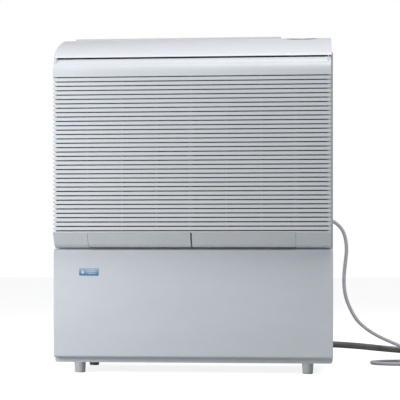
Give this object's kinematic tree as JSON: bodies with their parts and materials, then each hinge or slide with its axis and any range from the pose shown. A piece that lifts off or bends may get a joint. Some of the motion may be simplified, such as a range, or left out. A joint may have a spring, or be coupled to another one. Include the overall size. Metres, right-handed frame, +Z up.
{
  "type": "dehumidifier",
  "caption": "Floor-standing console dehumidifier with a louvred front intake, top outlet grille, humidistat dial, slide-out filters, drain hose and mains lead.",
  "frame": {"origin": "floor level under the middle of the width, halfway between the louvres and the back of the drain spigot", "axes": "+X to the right seen from the front, +Y to the back, +Z up"},
  "size_m": [1.0445, 0.642, 0.8055],
  "materials": {
    "base_plastic": "matt",
    "foot_rubber": "matt",
    "zinc_steel": "zinc plated",
    "casing_plastic": "fine texture",
    "panel_plastic": "fine texture",
    "badge_plastic": "gloss",
    "grille_plastic": "satin",
    "filter_plastic": "satin",
    "filter_net": "woven",
    "cover_plastic": "satin",
    "outlet_plastic": "satin",
    "scale_print": "printed film",
    "well_plastic": "satin",
    "knob_plastic": "satin",
    "black_plastic": "matt",
    "coated_steel": "galvanised",
    "tray_plastic": "matt",
    "fin_aluminium": "plain",
    "copper_tube": "copper, dull",
    "wheel_plastic": "satin",
    "bronze": "sintered",
    "motor_casting": "satin",
    "compressor_paint": "semi-gloss",
    "black_rubber": "matt",
    "box_plastic": "matt",
    "board_resin": "lacquered",
    "capacitor_can": "drawn",
    "hose_pvc": "satin",
    "gland_plastic": "matt",
    "lead_pvc": "satin",
    "brass_pins": "plain"
  },
  "bodies": {
    "casing": {"base_tray": "base_plastic", "foot_front_left": "foot_rubber", "foot_front_right": "foot_rubber", "foot_rear_left": "foot_rubber", "foot_rear_right": "foot_rubber", "foot_screws": "zinc_steel", "left_side_panel": "casing_plastic", "right_side_panel": "casing_plastic", "rear_panel": "casing_plastic", "rear_panel_screws": "zinc_steel", "lower_front_panel": "panel_plastic", "badge": "badge_plastic", "front_grille": "grille_plastic", "top_cover": "cover_plastic", "outlet_grille": "outlet_plastic", "dial_scale": "scale_print", "dial_well": "well_plastic", "humidistat_switch": "black_plastic", "bulkhead": "coated_steel", "drip_tray": "tray_plastic", "evaporator_plates": "fin_aluminium", "evaporator_coil": "copper_tube", "condenser_plates": "fin_aluminium", "condenser_coil": "copper_tube", "blower_scroll": "coated_steel", "shaft_bearing": "bronze", "fan_motor": "motor_casting", "motor_bracket": "coated_steel", "compressor": "compressor_paint", "compressor_grommets": "black_rubber", "compressor_bolts": "zinc_steel", "terminal_cover": "black_plastic", "suction_accumulator": "compressor_paint", "discharge_pipe": "copper_tube", "suction_pipe": "copper_tube", "liquid_pipe": "copper_tube", "filter_drier": "copper_tube", "capillary_tube": "copper_tube", "electric_box": "box_plastic", "control_board": "board_resin", "run_capacitor": "capacitor_can", "compressor_cable": "black_rubber", "drain_tube": "tray_plastic", "drain_spigot": "tray_plastic", "hose_clip": "zinc_steel", "drain_hose": "hose_pvc", "drain_hose_coil": "hose_pvc", "lead_gland": "gland_plastic", "mains_lead": "lead_pvc", "mains_lead_coil": "lead_pvc", "mains_plug": "lead_pvc", "plug_pins": "brass_pins"},
    "left_filter": {"left_filter_frame": "filter_plastic", "left_filter_mesh": "filter_net"},
    "right_filter": {"right_filter_frame": "filter_plastic", "right_filter_mesh": "filter_net"},
    "blower": {"blower_wheel": "wheel_plastic", "blower_shaft": "zinc_steel"},
    "dial_knob": {"humidistat_knob": "knob_plastic", "humidistat_shaft": "zinc_steel"}
  },
  "joints": [
    {"name": "left_filter_slide", "type": "slide", "parent": "casing", "child": "left_filter", "axis": [0, 0, -1], "range_m": [0, 0.245]},
    {"name": "right_filter_slide", "type": "slide", "parent": "casing", "child": "right_filter", "axis": [0, 0, -1], "range_m": [0, 0.245]},
    {"name": "blower_spin", "type": "hinge", "parent": "casing", "child": "blower", "pos_m": [0, 0.036, 0.655], "axis": [1, 0, 0], "continuous": true},
    {"name": "humidistat_turn", "type": "hinge", "parent": "casing", "child": "dial_knob", "pos_m": [0.2537, 0.002, 0.785], "axis": [0, 0, 1], "range_deg": [0, 270]}
  ]
}
